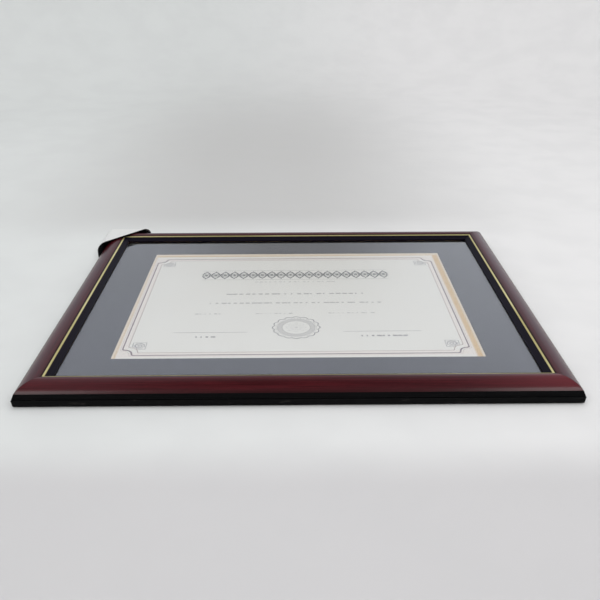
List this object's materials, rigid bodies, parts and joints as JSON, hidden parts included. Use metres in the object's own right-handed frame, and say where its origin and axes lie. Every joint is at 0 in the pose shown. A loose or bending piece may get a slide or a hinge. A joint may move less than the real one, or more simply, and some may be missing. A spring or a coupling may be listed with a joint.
{
  "type": "certificate frame",
  "caption": "Wide certificate frame with a rounded mahogany moulding, gold bead, dark window mat, glazing, easel leg and sawtooth hangers behind, and a slip-on corner guard.",
  "frame": {"origin": "middle of the back of the frame, on the plane that it lies on", "axes": "+X along the width, +Y towards the top of the certificate, +Z out through the front"},
  "size_m": [0.3904, 0.3142, 0.0169],
  "materials": {
    "mahogany_moulding": "satin mahogany crown with a gold bead, black lip and black side",
    "clear_glass": "polished",
    "clear_film": "clear protective film",
    "mat_board": "dark paper face, cream bevel",
    "certificate_paper": "printed certificate stock",
    "fibreboard": "fibreboard faced with black paper",
    "zinc_steel": "zinc plated",
    "bright_steel": "nickel plated",
    "guard_plastic": "matt white",
    "guard_foam": "black foam"
  },
  "bodies": {
    "root": {"backing_board": "fibreboard", "certificate": "certificate_paper", "easel_board_rivets": "bright_steel", "easel_fixed_leaf": "bright_steel", "easel_hinge_pin": "bright_steel", "glazing": "clear_glass", "glazing_film": "clear_film", "hanger_landscape": "bright_steel", "hanger_portrait": "bright_steel", "hanger_rivets": "bright_steel", "rail_bottom": "mahogany_moulding", "rail_left": "mahogany_moulding", "rail_right": "mahogany_moulding", "rail_top": "mahogany_moulding", "turn_button_screws": "zinc_steel", "v_nails_bottom_left": "zinc_steel", "v_nails_bottom_right": "zinc_steel", "v_nails_top_left": "zinc_steel", "v_nails_top_right": "zinc_steel", "window_mat": "mat_board"},
    "turn_button_right_upper": {"turn_button_right_upper": "zinc_steel"},
    "turn_button_right_lower": {"turn_button_right_lower": "zinc_steel"},
    "turn_button_top_right": {"turn_button_top_right": "zinc_steel"},
    "turn_button_top_left": {"turn_button_top_left": "zinc_steel"},
    "turn_button_left_upper": {"turn_button_left_upper": "zinc_steel"},
    "turn_button_left_lower": {"turn_button_left_lower": "zinc_steel"},
    "turn_button_bottom_left": {"turn_button_bottom_left": "zinc_steel"},
    "turn_button_bottom_right": {"turn_button_bottom_right": "zinc_steel"},
    "easel": {"easel_leg": "fibreboard", "easel_moving_leaf": "bright_steel", "easel_leg_rivets": "bright_steel"},
    "corner_guard": {"corner_guard_shell": "guard_plastic", "corner_guard_foam": "guard_foam"}
  },
  "joints": [
    {"name": "turn_button_right_upper_pivot", "type": "hinge", "parent": "root", "child": "turn_button_right_upper", "pos_m": [0.1828, 0.07679, 0.00335], "axis": [0, 0, 1], "range_deg": [-90, 90]},
    {"name": "turn_button_right_lower_pivot", "type": "hinge", "parent": "root", "child": "turn_button_right_lower", "pos_m": [0.1828, -0.07679, 0.00335], "axis": [0, 0, 1], "range_deg": [-90, 90]},
    {"name": "turn_button_top_right_pivot", "type": "hinge", "parent": "root", "child": "turn_button_top_right", "pos_m": [0.09889, 0.1447, 0.00335], "axis": [0, 0, 1], "range_deg": [-90, 90]},
    {"name": "turn_button_top_left_pivot", "type": "hinge", "parent": "root", "child": "turn_button_top_left", "pos_m": [-0.09889, 0.1447, 0.00335], "axis": [0, 0, 1], "range_deg": [-90, 90]},
    {"name": "turn_button_left_upper_pivot", "type": "hinge", "parent": "root", "child": "turn_button_left_upper", "pos_m": [-0.1828, 0.07679, 0.00335], "axis": [0, 0, 1], "range_deg": [-90, 90]},
    {"name": "turn_button_left_lower_pivot", "type": "hinge", "parent": "root", "child": "turn_button_left_lower", "pos_m": [-0.1828, -0.07679, 0.00335], "axis": [0, 0, 1], "range_deg": [-90, 90]},
    {"name": "turn_button_bottom_left_pivot", "type": "hinge", "parent": "root", "child": "turn_button_bottom_left", "pos_m": [-0.09889, -0.1447, 0.00335], "axis": [0, 0, 1], "range_deg": [-90, 90]},
    {"name": "turn_button_bottom_right_pivot", "type": "hinge", "parent": "root", "child": "turn_button_bottom_right", "pos_m": [0.09889, -0.1447, 0.00335], "axis": [0, 0, 1], "range_deg": [-90, 90]},
    {"name": "easel_hinge", "type": "hinge", "parent": "root", "child": "easel", "pos_m": [0, 0.104, 0.00235], "axis": [1, 0, 0], "range_deg": [0, 30]},
    {"name": "corner_guard_slip", "type": "slide", "parent": "root", "child": "corner_guard", "axis": [-0.7071, 0.7071, 0], "range_m": [0, 0.06]}
  ]
}
